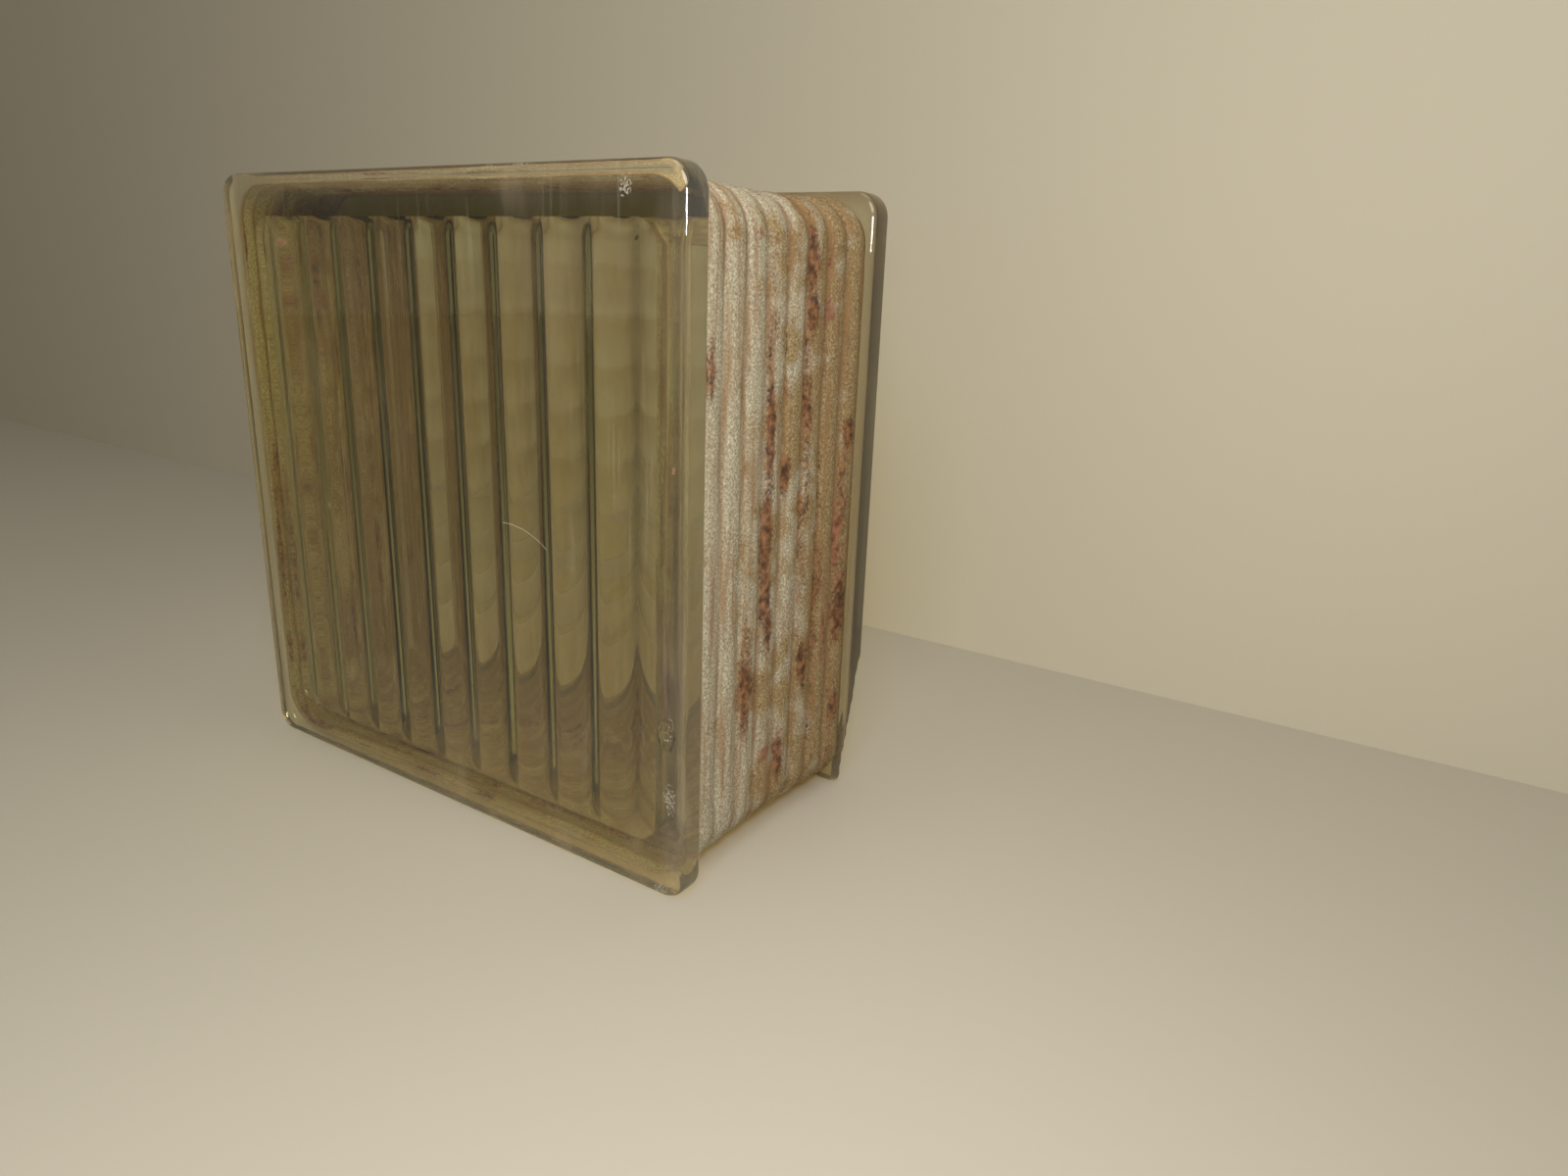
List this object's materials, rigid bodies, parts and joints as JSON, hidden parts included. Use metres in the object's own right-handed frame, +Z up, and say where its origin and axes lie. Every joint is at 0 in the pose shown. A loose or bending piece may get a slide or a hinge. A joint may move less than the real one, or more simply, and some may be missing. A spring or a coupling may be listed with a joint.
{
  "type": "glass block",
  "caption": "Square hollow glass building block with fluted panes, raised rims and a ribbed, grit-coated edge wall.",
  "frame": {"origin": "middle of the underside, centred between the two faces, level with the flats of the rims it stands on", "axes": "+X across the face, +Y from the front face (upright flutes) to the rear face (level flutes), +Z up"},
  "size_m": [0.1968, 0.0984, 0.1969],
  "materials": {
    "glass": "clear pressed glass with a faint olive-green cast, smooth outside, fluted inside",
    "edge_coat": "matt whitish-grey grit with tan, rust and brick-red stains"
  },
  "bodies": {
    "root": {"glass_block": "glass"}
  },
  "joints": []
}
